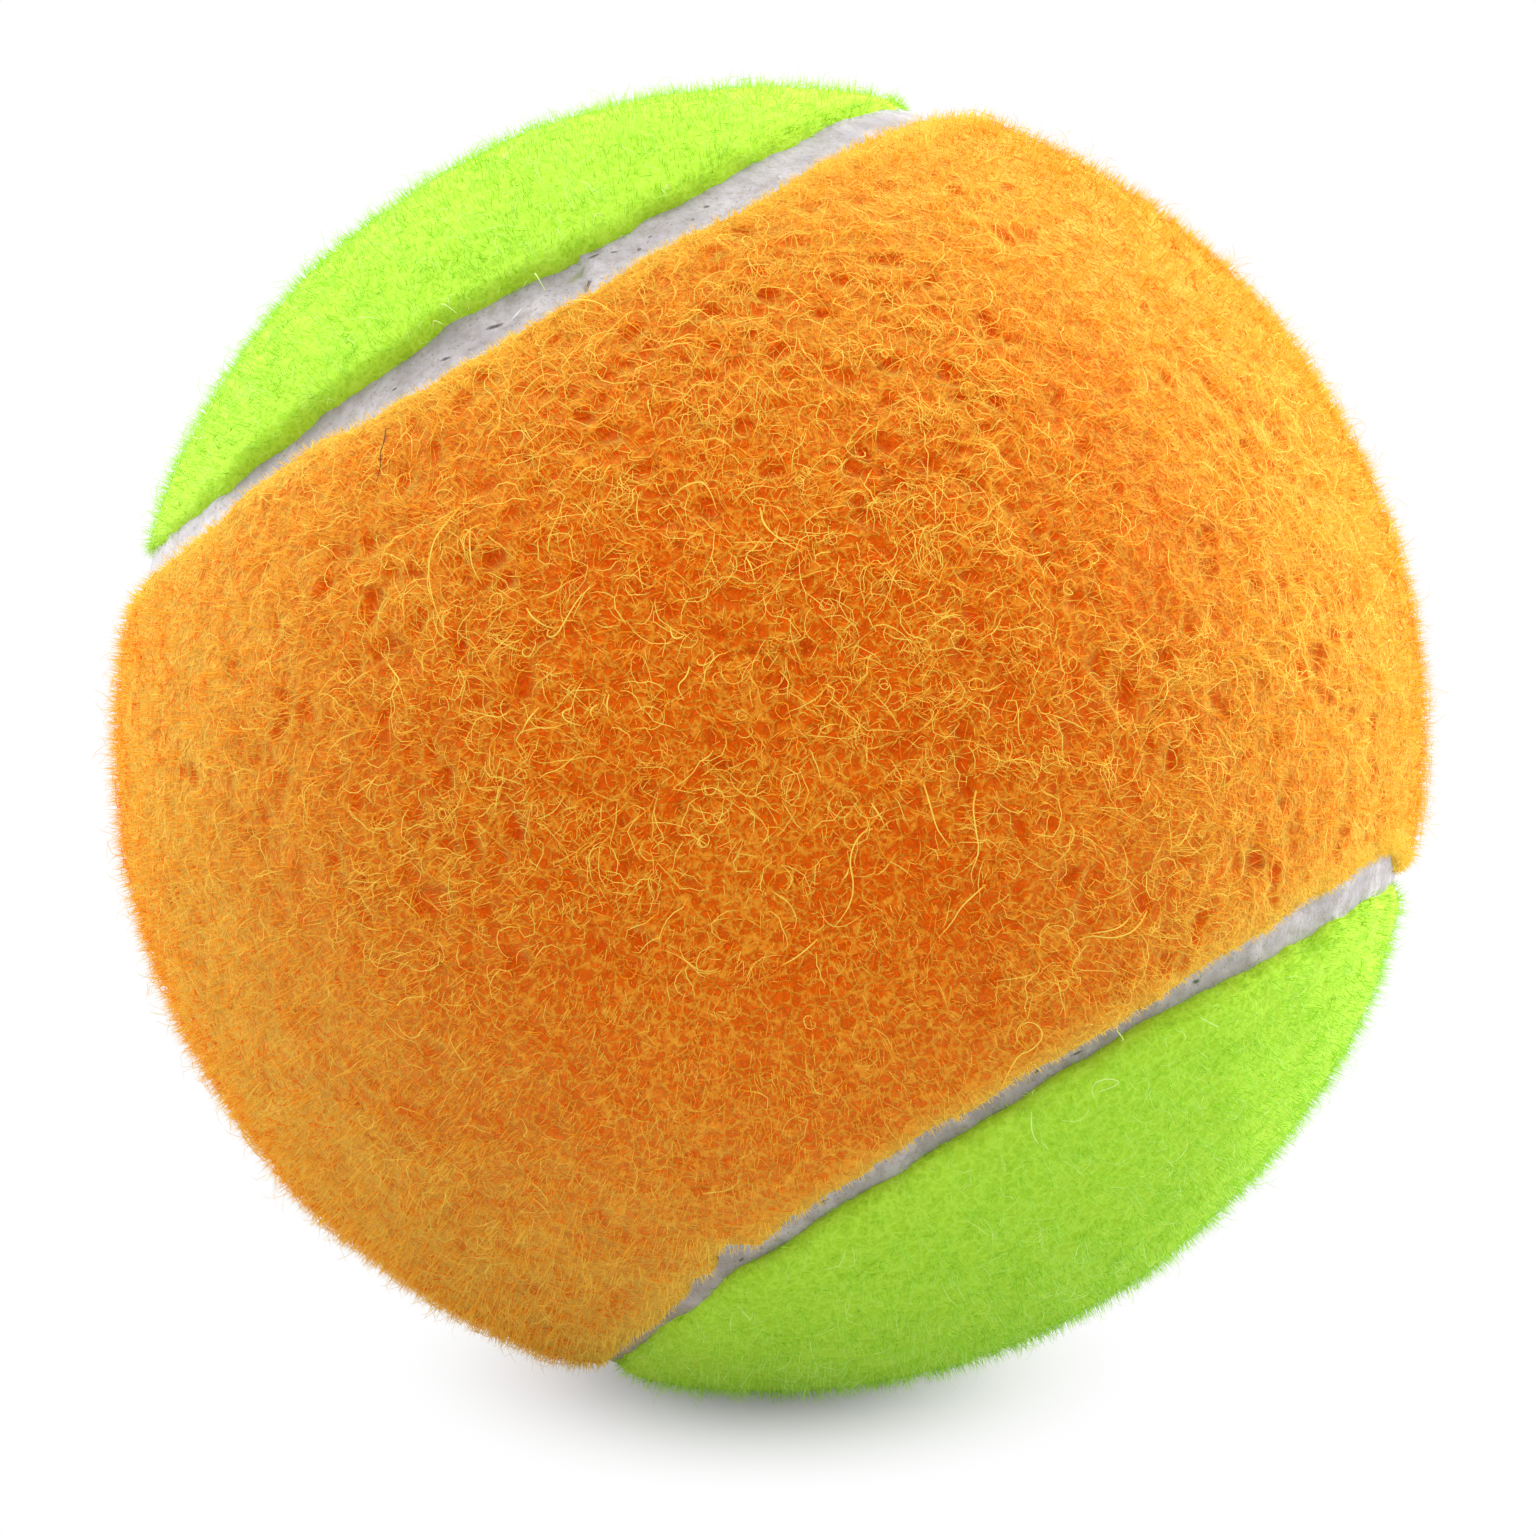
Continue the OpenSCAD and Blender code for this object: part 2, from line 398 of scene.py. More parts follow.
def makeFelt(panel, material):
    body = bpy.data.objects.new(panel["name"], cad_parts[panel["node"]].data.copy())
    bpy.context.scene.collection.objects.link(body)
    onlySelect(body)
    bpy.ops.object.mode_set(mode="EDIT")
    bpy.ops.mesh.select_all(action="SELECT")
    bpy.ops.mesh.remove_doubles(threshold=0.002 * mm)
    bpy.ops.mesh.normals_make_consistent(inside=False)
    bpy.ops.object.mode_set(mode="OBJECT")
    applied(body, "REMESH", mode="VOXEL", voxel_size=felt["step"])
    applied(body, "SMOOTH", factor=0.5, iterations=4)
    points = readPoints(body)
    reach = np.linalg.norm(points, axis=1)
    ways = points / reach[:, None]
    distance, across, arc, turn = seamPlace(ways)
    own = distance * panel["side"]
    raised = smoothStep(reach, ballRadius - 2.4 * mm, ballRadius - 0.8 * mm)
    nearEdge = 1 - smoothStep(own, pattern["halfWidth"], pattern["halfWidth"] + felt["flareReach"])
    ragged = 0.25 * mm * lumps(points, 2.4 * mm, panel["seed"]) + 0.12 * mm * lumps(points, mm, 5)
    flare = (flareAt(arc, turn, panel) + ragged) * raised * nearEdge
    points -= across * (flare * panel["side"])[:, None]
    writePoints(body, points)
    group = body.vertex_groups.new(name="nap")
    for index in np.nonzero(raised > 0.01)[0]:
        group.add([int(index)], float(raised[index]), "REPLACE")
    for kind, size, height in (("CLOUDS", felt["lumpSize"], felt["lumpHeight"]),
                               ("CLOUDS", felt["clumpSize"], panel["clumpHeight"])):
        texture = bpy.data.textures.new(panel["name"] + kind, kind)
        texture.noise_scale = size
        applied(body, "DISPLACE", texture=texture, texture_coords="LOCAL", strength=height,
                mid_level=0.5, vertex_group="nap")
    points = readPoints(body)
    reach = np.linalg.norm(points, axis=1)
    inside, _, deep = nearestPit(points, panel["seed"])
    pit = smoothStep(inside, 0.08, 0.45) * deep
    pit *= openness(points, panel) * raised * panel["pitShare"]
    writePoints(body, points - ways * (pit * pits["depth"])[:, None])
    own, mouth = ownPlace(points, panel)
    # Painted highlight: a lighter band along the cut edge, stored in the pit attribute as negative pit
    light = panel["paintedEdgeHighlight"] * (1 - smoothStep(own - mouth, 0.6 * mm, 2.4 * mm)) * raised
    body.data.attributes.new("pit", "FLOAT", "POINT").data.foreach_set(
        "value", (pit - light).astype(np.float32))
    behind = reach < ballRadius - 2.6 * mm
    bpy.ops.object.mode_set(mode="EDIT")
    bpy.ops.mesh.select_all(action="DESELECT")
    bpy.ops.object.mode_set(mode="OBJECT")
    body.data.vertices.foreach_set("select", behind)
    bpy.ops.object.mode_set(mode="EDIT")
    bpy.ops.mesh.select_mode(type="VERT")
    bpy.ops.mesh.decimate(ratio=felt["backKept"])
    bpy.ops.object.mode_set(mode="OBJECT")
    bpy.ops.object.shade_smooth()
    body.data.materials.clear()
    body.data.materials.append(material)
    body.vertex_groups.clear()
    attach(body, "root")
    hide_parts(panel["node"])
    return body


orangeNap = napMaterial("orangeWoolNylonFelt", orangeLooks)
greenNap = napMaterial("greenWoolNylonFelt", greenLooks)
orangeBody = makeFelt(panels["orange"], orangeNap)
greenBody = makeFelt(panels["green"], greenNap)
for body in (orangeBody, greenBody):
    print("felt made", body.name, len(body.data.vertices), "points", len(body.data.polygons))


# Seam cement: a dished strip with a crease along its middle, a splice where the strip's
# ends meet, and dirt in its scratches
seam = {
    "steps": 300,              # along each arc
    "topPoints": 27,
    "crease": 0.1 * mm, "creaseWidth": 0.16 * mm, "creaseShift": 0.3 * mm,
    "waves": 0.1 * mm,
    "dish": 0.2 * mm,
    "spliceArc": 0, "spliceTurn": 1.8, "spliceStep": 0.2 * mm,
    "notch": 0.3 * mm, "notchWidth": 0.13 * mm,
    "swell": 0.6 * mm,         # where the cement stands fuller, towards the arcs' ends
}


# Points of the strip's section: across the seam and out from the ball's middle
def seamSection():
    half = pattern["stripHalf"]
    low = pattern["coreRadius"]
    high = ballRadius - pattern["cementDrop"]
    across = np.linspace(-half, half, seam["topPoints"])
    top = [(x, high - seam["dish"] * (1 - (x / half) ** 2)) for x in across]
    side = [high - (high - low) * k / 5 for k in range(1, 6)]
    bottom = np.linspace(half, -half, 7)[1:-1]
    return ([*top] + [(half, y) for y in side] + [(x, low) for x in bottom]
            + [(-half, y) for y in reversed(side)])


# The lobe of an arc, and the ways out, across to orange and along at a turn on that arc
def arcFrame(number, turn, distance=0.0):
    onAxis = [(-1, 0), (1, 0), (0, -1), (0, 1)][number]
    side = 1 if number < 2 else -1
    lobe = np.array([onAxis[0] * math.cos(lean), onAxis[1] * math.cos(lean),
                     side * math.sin(lean)])
    pole = np.array([0, 0, side])
    start = unit(pole - (pole @ lobe) * lobe)
    round_ = math.cos(turn) * start + math.sin(turn) * np.cross(lobe, start)
    angle = arcAngle + side * distance / ballRadius
    out = math.cos(angle) * lobe + math.sin(angle) * round_
    across = side * unit(out * (out @ lobe) - lobe)
    return lobe, out, across


def seamArc(number, section):
    lobe, out, across = arcFrame(number, -halfTurn)
    bpy.ops.object.select_all(action="DESELECT")
    bpy.ops.mesh.primitive_circle_add(vertices=len(section), radius=mm)
    strip = bpy.context.active_object
    points = np.array([out * y + across * x for x, y in section]) @ ballTurn.T
    writePoints(strip, points)
    bpy.ops.object.mode_set(mode="EDIT")
    bpy.ops.mesh.select_all(action="SELECT")
    bpy.ops.mesh.spin(steps=seam["steps"], angle=-2 * halfTurn, center=(0, 0, 0),
                      axis=tuple(ballTurn @ lobe))
    bpy.ops.object.mode_set(mode="OBJECT")
    return strip


def makeSeam(material):
    section = seamSection()
    strips = [seamArc(number, section) for number in range(4)]
    bpy.ops.object.select_all(action="DESELECT")
    for strip in strips:
        strip.select_set(True)
    bpy.context.view_layer.objects.active = strips[0]
    bpy.ops.object.join()
    strip = bpy.context.active_object
    strip.name = strip.data.name = "grey_seam_cement"
    bpy.ops.object.mode_set(mode="EDIT")
    bpy.ops.mesh.select_all(action="SELECT")
    bpy.ops.mesh.remove_doubles(threshold=0.02 * mm)
    bpy.ops.mesh.normals_make_consistent(inside=False)
    bpy.ops.object.mode_set(mode="OBJECT")
    points = readPoints(strip)
    reach = np.linalg.norm(points, axis=1)
    ways = points / reach[:, None]
    distance, across, arc, turn = seamPlace(ways)
    top = smoothStep(reach, ballRadius - 1.6 * mm, ballRadius - 1.2 * mm)
    middle = seam["creaseShift"] + 0.3 * mm * lumps(points, 9 * mm, 4)
    crease = np.exp(-((distance - middle) / seam["creaseWidth"]) ** 2) * seam["crease"]
    crease *= np.clip(0.5 + 1.2 * lumps(points, 4 * mm, 9), 0, 1)
    waves = seam["waves"] * (lumps(points, 2.2 * mm, 1) + 0.5 * lumps(points, 0.7 * mm, 2))
    along = (turn - math.radians(seam["spliceTurn"])) * ballRadius * math.sin(arcAngle)
    along = np.where(arc == seam["spliceArc"], along + 0.3 * distance, -mm)
    lap = smoothStep(along, -0.05 * mm, 0.12 * mm) * (1 - smoothStep(along, 0.6 * mm, 6 * mm))
    notch = np.exp(-((along + 0.08 * mm) / seam["notchWidth"]) ** 2) * seam["notch"]
    notch *= 0.25 + 0.75 * smoothStep(distance, 0, 1.3 * mm)
    swell = seam["swell"] * smoothStep(np.degrees(abs(turn)), 40, 56)
    height = waves + swell - crease + lap * seam["spliceStep"] - notch
    points += ways * (top * height)[:, None]
    writePoints(strip, points)
    attribute = strip.data.attributes.new("across", "FLOAT", "POINT")
    attribute.data.foreach_set("value", (distance / pattern["halfWidth"]).astype(np.float32))
    bpy.ops.object.shade_smooth()
    strip.data.materials.clear()
    strip.data.materials.append(material)
    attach(strip, "root")
    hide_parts("seam_cement")
    return strip


# Dirt and scratches in the cement that shows: arc, degrees along it and mm across it towards
# orange, then length, width in mm, slant in degrees, and colour
marks = [
    (0, -9.9, -0.34, 0.75, 0.2, 14, "#2B2622"), (0, -16.8, -0.2, 0.5, 0.16, 20, "#3A332C"),
    (0, 6.6, -0.46, 0.35, 0.12, 30, "#4A4238"), (0, 4.4, -0.9, 0.5, 0.14, 10, "#4A4238"),
    (0, 9.1, 0.12, 0.2, 0.14, 0, "#55493E"), (0, 11.2, -0.23, 0.2, 0.12, 0, "#4A4238"),
    (0, 19.8, -0.45, 0.3, 0.16, 15, "#2B2622"), (0, 16.9, 0.0, 0.16, 0.12, 0, "#55493E"),
    (0, -24.0, -0.3, 0.22, 0.14, 0, "#4A4238"), (0, -32.0, 0.1, 0.2, 0.12, 0, "#4A4238"),
    (0, 1.6, 0.62, 0.3, 0.45, 60, "#4B3617"), (0, 1.4, -0.5, 0.35, 1.1, 75, "#8E9470"),
    (0, -7.0, -0.29, 0.7, 0.07, -25, "#F4F2F6"),
    (1, -21.6, -0.33, 0.4, 0.2, 25, "#2E3A1E"), (1, -14.2, -0.05, 0.8, 0.12, 5, "#4A463E"),
    (1, -4.3, -0.38, 0.5, 0.12, 10, "#4A463E"), (1, 1.0, -0.1, 0.25, 0.14, 0, "#4A463E"),
    (1, 30.0, 0.1, 0.4, 0.12, 5, "#55504A"), (1, 44.0, 0.0, 0.3, 0.14, 0, "#55504A"),
]


# Paints the marks over a colour, each a soft-edged streak with a wavering outline
def markedColour(material, base, where, waver):
    for number, turn, distance, length, width, slant, colour in marks:
        _, out, across = arcFrame(number, math.radians(turn), distance * mm)
        ahead = np.cross(across, out)
        c, s = math.cos(math.radians(slant)), -math.sin(math.radians(slant))
        spot = ballTurn @ (out * (ballRadius - 1.05 * mm))
        offset = addNode(material, "VectorMath", {0: where, 1: tuple(spot)},
                         operation="SUBTRACT").outputs[0]
        sizes = []
        for way, size in ((c * ahead + s * across, length), (c * across - s * ahead, width)):
            unitWay = tuple(ballTurn @ way / (size / 2 * mm))
            sizes.append(addNode(material, "VectorMath", {0: offset, 1: unitWay},
                                 operation="DOT_PRODUCT").outputs["Value"])
        flat = addNode(material, "CombineXYZ", {"X": sizes[0], "Y": sizes[1]})
        far = addNode(material, "VectorMath", {0: flat.outputs[0]}, operation="LENGTH")
        far = addNode(material, "Math", {0: far.outputs["Value"], 1: waver}, operation="ADD")
        cover = addNode(material, "MapRange", {"Value": far.outputs[0], "From Min": 1.1,
                                               "From Max": 1.9, "To Min": 0.85, "To Max": 0.0})
        base = addNode(material, "Mix", {0: cover.outputs[0], 6: base, 7: linear(colour)},
                       data_type="RGBA").outputs[2]
    return base


# Cured natural rubber cement, buff grey: dull, faintly mottled, with dirt in fine pits
def cementMaterial(name, stops, speckSize, marked=False):
    material, shader = newMaterial(name)
    where = addNode(material, "TexCoord").outputs["Object"]
    mottle = addNode(material, "TexNoise", {"Vector": where, "Scale": 1 / (1.6 * mm),
                                            "Detail": 4.0}).outputs["Fac"]
    # Painted shade and light: the cement is made darker towards the green edge and lighter towards the orange
    # edge
    across = addNode(material, "Attribute", attribute_name="across").outputs["Fac"]
    level = addNode(material, "Math", {0: across, 1: 0.07, 2: mottle},
                    operation="MULTIPLY_ADD").outputs[0]
    base = colourRamp(material, level, *stops)
    specks = addNode(material, "TexNoise", {"Vector": where, "Scale": 1 / speckSize,
                                            "Detail": 2.0, "Roughness": 0.7}).outputs["Fac"]
    dirty = addNode(material, "MapRange", {"Value": specks, "From Min": 0.62, "From Max": 0.7,
                                           "To Min": 0.0, "To Max": 0.75}).outputs[0]
    mixed = addNode(material, "Mix", {0: dirty, 6: base, 7: linear("#6B6258")},
                    data_type="RGBA")
    colour = mixed.outputs[2]
    grime = addNode(material, "TexNoise", {"Vector": where, "Scale": 1 / (0.45 * mm),
                                           "Detail": 5.0, "Roughness": 0.7}).outputs["Fac"]
    grimy = addNode(material, "MapRange", {"Value": grime, "From Min": 0.46, "From Max": 0.64,
                                           "To Min": 0.0, "To Max": 0.6}).outputs[0]
    colour = addNode(material, "Mix", {0: grimy, 6: colour, 7: linear("#968C82")},
                     data_type="RGBA").outputs[2]
    # Painted shade: the cement turns a darker brown towards the ball's bottom, from 19 to 30 mm below its
    # middle
    height = addNode(material, "SeparateXYZ", {0: where}).outputs["Z"]
    low = addNode(material, "MapRange", {"Value": height, "From Min": -30 * mm,
                                         "From Max": -19 * mm, "To Min": 0.8,
                                         "To Max": 0.0}).outputs[0]
    colour = addNode(material, "Mix", {0: low, 6: colour, 7: linear("#8C6A40")},
                     data_type="RGBA").outputs[2]
    if marked:
        waver = addNode(material, "TexNoise", {"Vector": where, "Scale": 1 / (0.12 * mm),
                                               "Detail": 3.0}).outputs["Fac"]
        colour = markedColour(material, colour, where, waver)
    linkTo(material, colour, shader, "Base Color")
    rough = addNode(material, "MapRange", {"Value": mottle, "To Min": 0.5,
                                           "To Max": 0.75}).outputs[0]
    linkTo(material, rough, shader, "Roughness")
    fine = addNode(material, "TexNoise", {"Vector": where, "Scale": 1 / (0.22 * mm),
                                          "Detail": 3.0}).outputs["Fac"]
    bump = addNode(material, "Bump", {"Height": fine, "Strength": 0.6, "Distance": 0.06 * mm})
    linkTo(material, bump.outputs[0], shader, "Normal")
    shader.inputs["IOR"].default_value = 1.5
    return material


cement = cementMaterial("greyRubberCement",
                        [(0.3, "#A6A1A6"), (0.5, "#B7B2B8"), (0.7, "#CBC7CC")], 0.16 * mm,
                        marked=True)
seamStrip = makeSeam(cement)
print("seam made", len(seamStrip.data.vertices), "points")


# Nap: single fibres as thin three-sided tubes, closed at both ends. The mat lies along the
# ridges between the pits, the pile stands up short, and strands and curls lie loose on top.
naps = {
    "orangeMat": {"panel": "orange", "count": 12500, "segments": 3, "length": (0.8, 2.0),
                  "lift": (0, 40), "fall": (-40, 10), "curl": 1.1, "wander": 0.45,
                  "width": (0.02, 0.03), "top": 0.3, "tone": (0.15, 0.5), "scruffy": 0.3,
                  "clumped": 0.5, "golden": 0.4, "gather": 0.34},
    "orangeWisp": {"panel": "orange", "count": 13000, "segments": 3, "length": (0.7, 1.8),
                   "lift": (5, 55), "fall": (-35, 15), "curl": 1.2, "wander": 0.4,
                   "width": (0.016, 0.024), "top": 0.5, "tone": (0.3, 0.75), "scruffy": 0.85,
                   "clumped": 1.6, "golden": 0.4, "gather": 0.3},
    "orangePile": {"panel": "orange", "count": 64000, "segments": 1, "length": (0.5, 1.1),
                   "lift": (56, 90), "fall": (56, 90), "curl": 0, "wander": 0.3,
                   "width": (0.022, 0.032), "top": 1.2, "tone": (0.55, 1.0), "scruffy": 0.0,
                   "clumped": 0.4, "golden": 0.1, "gather": 0},
    "orangeStrand": {"panel": "orange", "count": 4600, "segments": 6, "length": (1.2, 3.2),
                     "lift": (10, 60), "fall": (-45, 5), "curl": 0.8, "wander": 0.42,
                     "width": (0.02, 0.03), "top": 0.6, "tone": (0.35, 0.85),
                     "scruffy": 0.95, "clumped": 1.5, "golden": 0.2, "gather": 0.15},
    "orangeCurl": {"panel": "orange", "count": 1100, "segments": 10, "length": (1.2, 2.8),
                   "lift": (10, 50), "fall": (-40, 0), "curl": 2.4, "wander": 0.2,
                   "width": (0.02, 0.03), "top": 0.6, "tone": (0.35, 0.9), "scruffy": 0.95,
                   "clumped": 1.0, "golden": 0.2, "gather": 0},
    "greenMat": {"panel": "green", "count": 7000, "segments": 3, "length": (0.8, 1.8),
                 "lift": (0, 30), "fall": (-30, 10), "curl": 0.8, "wander": 0.4,
                 "width": (0.02, 0.03), "top": 0.3, "tone": (0.3, 0.55), "scruffy": 0.0,
                 "clumped": 0.3, "golden": 0, "gather": 0},
    "greenPile": {"panel": "green", "count": 58000, "segments": 1, "length": (0.4, 1.05),
                  "lift": (48, 86), "fall": (48, 86), "curl": 0, "wander": 0.3,
                  "width": (0.018, 0.028), "top": 1.2, "tone": (0.3, 0.6), "scruffy": 0.0,
                  "clumped": 0.3, "golden": 0, "gather": 0},
    "greenStrand": {"panel": "green", "count": 1300, "segments": 6, "length": (1.0, 2.4),
                    "lift": (20, 65), "fall": (-45, 0), "curl": 0.6, "wander": 0.4,
                    "width": (0.018, 0.026), "top": 0.7, "tone": (0.45, 0.95), "scruffy": 0.7,
                    "clumped": 1.0, "golden": 0, "gather": 0},
    "orangeHalo": {"panel": "orange", "count": 4200, "segments": 4, "length": (1.1, 2.3),
                   "lift": (35, 85), "fall": (-15, 45), "curl": 1.1, "wander": 0.5,
                   "width": (0.012, 0.018), "top": 1.5, "tone": (0.6, 0.95), "scruffy": 0.2,
                   "clumped": 2.2, "golden": 0.1, "gather": 0},
    "greenHalo": {"panel": "green", "count": 2400, "segments": 4, "length": (1.0, 2.0),
                  "lift": (35, 85), "fall": (-15, 45), "curl": 1.0, "wander": 0.5,
                  "width": (0.012, 0.018), "top": 1.4, "tone": (0.5, 1.0), "scruffy": 0.0,
                  "clumped": 2.2, "golden": 0, "gather": 0},
}


def between(low, high, count):
    return draw.uniform(low, high, count)


def readNormals(obj):
    normals = np.empty(len(obj.data.vertices) * 3, np.float32)
    obj.data.vertices.foreach_get("normal", normals)
    return normals.reshape(-1, 3).astype(float)


# Where fibres may grow on a panel, and how likely each place is
def rootPlaces(body, nap, panel):
    points = readPoints(body)
    own, mouth = ownPlace(points, panel)
    reach = np.linalg.norm(points, axis=1)
    outside = np.nonzero((reach > ballRadius - 1.2 * mm) & (own > mouth - 0.5 * mm))[0]
    pit = np.empty(len(points), np.float32)
    body.data.attributes["pit"].data.foreach_get("value", pit)
    chance = 1.04 - np.clip(pit[outside], 0, 1)
    chance *= 1 - nap["scruffy"] * (1 - scruff(points[outside]))
    chance *= np.exp(2 * nap["clumped"] * lumps(points[outside], 0.9 * mm, 12))
    chance *= 3 - 2 * smoothStep((own - mouth)[outside], 0.1 * mm, 0.8 * mm)
    return outside, chance / chance.sum()


# Grows a sort of nap on a panel: the fibres' paths and which way is up at their roots
def fibrePaths(body, nap):
    panel = panels[nap["panel"]]
    places, chance = rootPlaces(body, nap, panel)
    tries = int(nap["count"] * 1.25)
    chosen = draw.choice(places, tries, p=chance)
    points = readPoints(body)[chosen]
    out = unit(readNormals(body)[chosen] + 0.35 * unit(points))
    spread = draw.normal(size=(tries, 3))
    spread -= (spread * out).sum(1)[:, None] * out
    root = points + spread * 0.17 * mm - out * 0.06 * mm
    flow = np.array([noise.noise_vector(Vector(p) / (2.6 * mm)) for p in root])
    heading = flow * 2.2 + draw.normal(size=(tries, 3))
    heading = unit(heading - (heading * out).sum(1)[:, None] * out)
    sideways = np.cross(out, heading)
    own, mouth = ownPlace(root, panel)
    length = between(*nap["length"], tries) * mm
    length = np.minimum(length, panel["edgePile"] + 0.9 * np.maximum(own - mouth, 0))
    lift = np.radians(between(*nap["lift"], tries))
    fall = np.radians(between(*nap["fall"], tries))
    curl = draw.normal(size=tries) * nap["curl"] / mm
    rootReach = np.linalg.norm(root, axis=1)
    gather = nap["gather"] * pits["spacing"] * openness(root, panel) if nap["gather"] else None
    path = [root]
    bearing = between(-0.3, 0.3, tries)
    segments = nap["segments"]
    for k in range(segments):
        share = k / max(segments - 1, 1)
        rise = lift + (fall - lift) * share + draw.normal(size=tries) * 0.18
        bearing = bearing + curl * length / segments + draw.normal(size=tries) * nap["wander"]
        step = (np.cos(rise)[:, None] * (np.cos(bearing)[:, None] * heading
                                         + np.sin(bearing)[:, None] * sideways)
                + np.sin(rise)[:, None] * out)
        there = path[-1] + step * (length / segments)[:, None]
        if gather is not None:
            inside, middle, deep = nearestPit(there, panel["seed"])
            away = there - middle
            away = unit(away - (away * out).sum(1)[:, None] * out + 1e-12)
            pull = gather * (0.35 + 0.65 * deep) * smoothStep(inside, 0.05, 0.6)
            there += away * pull[:, None]
        reach = np.linalg.norm(there, axis=1)
        held = np.clip(reach, rootReach - 0.02 * mm, rootReach + nap["top"] * mm)
        path.append(there * (held / reach)[:, None])
    path = np.stack(path, 1)
    nearest = np.min([ownPlace(path[:, k], panel)[0] for k in range(segments + 1)], axis=0)
    own, mouth = ownPlace(points, panel)
    limit = np.minimum(mouth, own) - panel["fringe"] * draw.random(tries)
    kept = np.nonzero(nearest > limit)[0][:nap["count"]]
    return path[kept], out[kept]


# Closed three-sided tubes round the paths, thinning to a point, as one mesh object
def fibreObject(name, path, out, width, tone, material):
    count, rings = path.shape[0], path.shape[1] - 1
    along = unit(np.gradient(path, axis=1))[:, :rings]
    first = unit(np.cross(along, out[:, None, :]) + 1e-9)
    second = np.cross(first, along)
    taper = width[:, None, None] * np.linspace(1, 0.55, rings)[None, :, None]
    corners = [path[:, :rings] + taper * (math.cos(a) * first + math.sin(a) * second)
               for a in np.radians((30, 150, 270))]
    tube = np.stack(corners, 2).reshape(count, rings * 3, 3)
    points = np.concatenate([tube, path[:, -1:]], 1)
    perFibre = rings * 3 + 1
    tip = rings * 3
    faces, sizes = [0, 2, 1], [3]
    for ring in range(rings - 1):
        for a, b in ((0, 1), (1, 2), (2, 0)):
            faces += [ring * 3 + a, ring * 3 + b, ring * 3 + 3 + b, ring * 3 + 3 + a]
            sizes.append(4)
    for a, b in ((0, 1), (1, 2), (2, 0)):
        faces += [tip - 3 + a, tip - 3 + b, tip]
        sizes.append(3)
    loops = (np.array(faces)[None] + perFibre * np.arange(count)[:, None]).ravel()
    starts = np.concatenate([[0], np.cumsum(np.tile(sizes, count))[:-1]])
    mesh = bpy.data.meshes.new(name)
    mesh.vertices.add(count * perFibre)
    mesh.loops.add(len(loops))
    mesh.polygons.add(len(starts))
    mesh.vertices.foreach_set("co", points.astype(np.float32).ravel())
    mesh.loops.foreach_set("vertex_index", loops.astype(np.int32))
    mesh.polygons.foreach_set("loop_start", starts.astype(np.int32))
    mesh.polygons.foreach_set("use_smooth", np.zeros(len(starts), bool))
    mesh.update(calc_edges=True)
    reach = np.linalg.norm(points, axis=2)
    height = np.maximum(reach - reach[:, :1], 0) / mm
    # Painted highlight and shade: a fibre's tone rises with its height above the root, paler tips and deeper
    # roots
    shade = np.clip(tone[:, None] + 1.2 * height ** 1.3, 0, 1)
    mesh.attributes.new("tone", "FLOAT", "POINT").data.foreach_set(
        "value", shade.astype(np.float32).ravel())
    mesh.materials.append(material)
    tuft = bpy.data.objects.new(name, mesh)
    bpy.context.scene.collection.objects.link(tuft)
    return tuft


def makeNap(name, nap, body, material):
    path, out = fibrePaths(body, nap)
    count = len(path)
    width = between(*nap["width"], count) * mm
    own, mouth = ownPlace(path[:, 0], panels[nap["panel"]])
    tone = between(*nap["tone"], count) + nap["golden"] * (scruff(path[:, 0]) - 0.4)
    tone += panels[nap["panel"]]["patches"] * lumps(path[:, 0], 2.2 * mm, 17)
    # Painted highlight: fibres rooted near the cut edge get a lighter tone
    tone += panels[nap["panel"]]["paintedEdgeHighlight"] * (1 - smoothStep(own - mouth, 0.3 * mm, 2.2 * mm))
    parts = math.ceil(count * (6 * nap["segments"] - 2) / 190000)
    tufts = []
    for part, chosen in enumerate(np.array_split(np.arange(count), parts)):
        tuft = fibreObject(f"{name}_{part + 1}", path[chosen], out[chosen], width[chosen],
                           tone[chosen], material)
        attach(tuft, "root")
        tufts.append(tuft)
    return tufts


orangeFibre = fibreMaterial("orangeWoolFibre", orangeLooks)
greenFibre = fibreMaterial("greenWoolFibre", greenLooks)
bodies = {"orange": orangeBody, "green": greenBody}
fibres = {"orange": orangeFibre, "green": greenFibre}
tufts = {"orange": [], "green": []}
for sort, nap in naps.items():
    tufts[nap["panel"]] += makeNap(sort, nap, bodies[nap["panel"]], fibres[nap["panel"]])
print("nap made", sum(len(t) for t in tufts.values()), "pieces")

